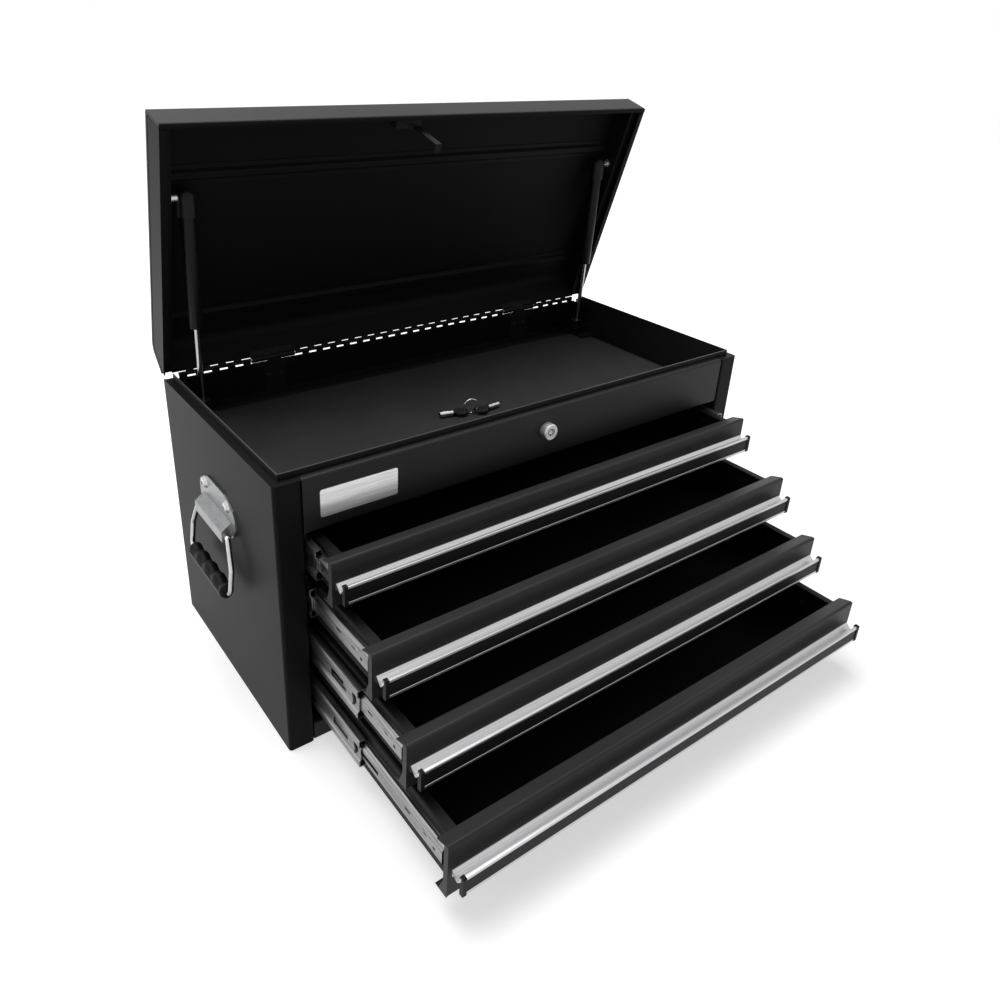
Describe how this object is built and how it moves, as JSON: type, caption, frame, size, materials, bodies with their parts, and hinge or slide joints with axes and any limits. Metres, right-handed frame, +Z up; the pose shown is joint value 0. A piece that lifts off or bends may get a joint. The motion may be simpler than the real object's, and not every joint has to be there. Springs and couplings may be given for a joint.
{
  "type": "machinist tool chest",
  "caption": "Low, wide sheet-steel top chest with a hinged lid held open by gas struts over a matted tray, a staircase of slide-out drawers with full-width pulls, and drop handles on its sides.",
  "frame": {"origin": "centre of the underside of the cabinet", "axes": "+Z up, +X along the width to the viewer's right, the drawers open towards -Y"},
  "size_m": [0.7096, 0.5905, 0.6215],
  "materials": {
    "powder_coat": "satin",
    "powder_coat_inside": "satin",
    "zinc_steel": "satin",
    "pull_aluminium": "brushed",
    "black_plastic": "matte",
    "chrome": "polished",
    "black_enamel": "gloss",
    "mat_rubber": "matte"
  },
  "bodies": {
    "cabinet": {"side_panel_left": "powder_coat", "side_panel_right": "powder_coat", "back_panel": "powder_coat", "bottom_panel": "powder_coat", "header_panel": "powder_coat", "slide_carriers": "powder_coat_inside", "tray": "powder_coat_inside", "tray_mat": "mat_rubber", "hinge_leaves_body": "powder_coat_inside", "hinge_pins": "zinc_steel", "strut_brackets": "powder_coat_inside", "cabinet_members": "zinc_steel", "lock_housing": "chrome", "badge_plate": "pull_aluminium", "keys": "black_plastic", "handle_plates": "zinc_steel", "handle_bolts": "chrome"},
    "lid": {"lid_shell": "powder_coat", "lid_end_panels": "powder_coat", "lid_rails": "powder_coat_inside", "lock_striker": "powder_coat_inside", "piano_leaf_lid": "powder_coat_inside", "butt_leaves_lid": "powder_coat_inside"},
    "lock": {"lock_core": "chrome"},
    "drawer_1": {"drawer_front_1": "powder_coat", "drawer_box_1": "powder_coat", "drawer_pull_1": "pull_aluminium", "pull_trims_1": "black_plastic", "drawer_members_1": "zinc_steel"},
    "middle_1": {"middle_members_1": "zinc_steel"},
    "drawer_2": {"drawer_front_2": "powder_coat", "drawer_box_2": "powder_coat", "drawer_pull_2": "pull_aluminium", "pull_trims_2": "black_plastic", "drawer_members_2": "zinc_steel"},
    "middle_2": {"middle_members_2": "zinc_steel"},
    "drawer_3": {"drawer_front_3": "powder_coat", "drawer_box_3": "powder_coat", "drawer_pull_3": "pull_aluminium", "pull_trims_3": "black_plastic", "drawer_members_3": "zinc_steel"},
    "middle_3": {"middle_members_3": "zinc_steel"},
    "drawer_4": {"drawer_front_4": "powder_coat", "drawer_box_4": "powder_coat", "drawer_pull_4": "pull_aluminium", "pull_trims_4": "black_plastic", "drawer_members_4": "zinc_steel"},
    "middle_4": {"middle_members_4": "zinc_steel"},
    "strut_rod_left": {"strut_rod_left": "chrome", "strut_foot_socket_left": "black_plastic"},
    "strut_tube_left": {"strut_tube_left": "black_enamel", "strut_head_socket_left": "black_plastic"},
    "strut_rod_right": {"strut_rod_right": "chrome", "strut_foot_socket_right": "black_plastic"},
    "strut_tube_right": {"strut_tube_right": "black_enamel", "strut_head_socket_right": "black_plastic"},
    "bail_left": {"bail_left": "chrome", "bail_grip_left": "black_plastic"},
    "bail_right": {"bail_right": "chrome", "bail_grip_right": "black_plastic"}
  },
  "joints": [
    {"name": "lid_hinge", "type": "hinge", "parent": "cabinet", "child": "lid", "pos_m": [0, 0.1515, 0.3235], "axis": [-1, 0, 0], "range_deg": [-72.9, 0]},
    {"name": "lock_turn", "type": "hinge", "parent": "cabinet", "child": "lock", "pos_m": [0, -0.14, 0.2965], "axis": [0, -1, 0], "range_deg": [0, 180]},
    {"name": "drawer_1_slide", "type": "slide", "parent": "cabinet", "child": "drawer_1", "axis": [0, -1, 0], "range_m": [-0.0496, 0.2004]},
    {"name": "middle_1_slide", "type": "slide", "parent": "cabinet", "child": "middle_1", "axis": [0, -1, 0], "range_m": [-0.0341, 0.13747]},
    {"name": "drawer_2_slide", "type": "slide", "parent": "cabinet", "child": "drawer_2", "axis": [0, -1, 0], "range_m": [-0.1213, 0.1287]},
    {"name": "middle_2_slide", "type": "slide", "parent": "cabinet", "child": "middle_2", "axis": [0, -1, 0], "range_m": [-0.0181, 0.0192]},
    {"name": "drawer_3_slide", "type": "slide", "parent": "cabinet", "child": "drawer_3", "axis": [0, -1, 0], "range_m": [-0.179, 0.071]},
    {"name": "middle_3_slide", "type": "slide", "parent": "cabinet", "child": "middle_3", "axis": [0, -1, 0], "range_m": [-0.1111, 0.04413]},
    {"name": "drawer_4_slide", "type": "slide", "parent": "cabinet", "child": "drawer_4", "axis": [0, -1, 0], "range_m": [-0.2442, 0.0058]},
    {"name": "middle_4_slide", "type": "slide", "parent": "cabinet", "child": "middle_4", "axis": [0, -1, 0], "range_m": [-0.1121, 0.00276]},
    {"name": "strut_left_swing", "type": "hinge", "parent": "cabinet", "child": "strut_rod_left", "pos_m": [-0.297, 0.1205, 0.287], "axis": [-1, 0, 0], "range_deg": [-69.91, 0]},
    {"name": "strut_left_stroke", "type": "slide", "parent": "strut_rod_left", "child": "strut_tube_left", "axis": [0, -0.051, 0.9987], "range_m": [-0.05582, 0], "stiffness_N_per_m": 100, "springref_m": 0.3},
    {"name": "strut_right_swing", "type": "hinge", "parent": "cabinet", "child": "strut_rod_right", "pos_m": [0.297, 0.1205, 0.287], "axis": [-1, 0, 0], "range_deg": [-69.91, 0]},
    {"name": "strut_right_stroke", "type": "slide", "parent": "strut_rod_right", "child": "strut_tube_right", "axis": [0, -0.051, 0.9987], "range_m": [-0.05582, 0], "stiffness_N_per_m": 100, "springref_m": 0.3},
    {"name": "bail_left_swing", "type": "hinge", "parent": "cabinet", "child": "bail_left", "pos_m": [-0.3385, 0, 0.2125], "axis": [0, 1, 0], "range_deg": [0, 80]},
    {"name": "bail_right_swing", "type": "hinge", "parent": "cabinet", "child": "bail_right", "pos_m": [0.3385, 0, 0.2125], "axis": [0, -1, 0], "range_deg": [0, 80]}
  ],
  "couplings": [
    {"joint": "middle_1_slide", "follows": "drawer_1_slide", "ratio": 0.68548},
    {"joint": "middle_2_slide", "follows": "drawer_2_slide", "ratio": 0.14839},
    {"joint": "middle_3_slide", "follows": "drawer_3_slide", "ratio": 0.62011},
    {"joint": "middle_4_slide", "follows": "drawer_4_slide", "ratio": 0.45864},
    {"joint": "strut_left_swing", "follows": "lid_hinge", "ratio": 0.95831},
    {"joint": "strut_left_stroke", "follows": "lid_hinge", "m_per_rad": 0.043792},
    {"joint": "strut_right_swing", "follows": "lid_hinge", "ratio": 0.95831},
    {"joint": "strut_right_stroke", "follows": "lid_hinge", "m_per_rad": 0.043792}
  ]
}
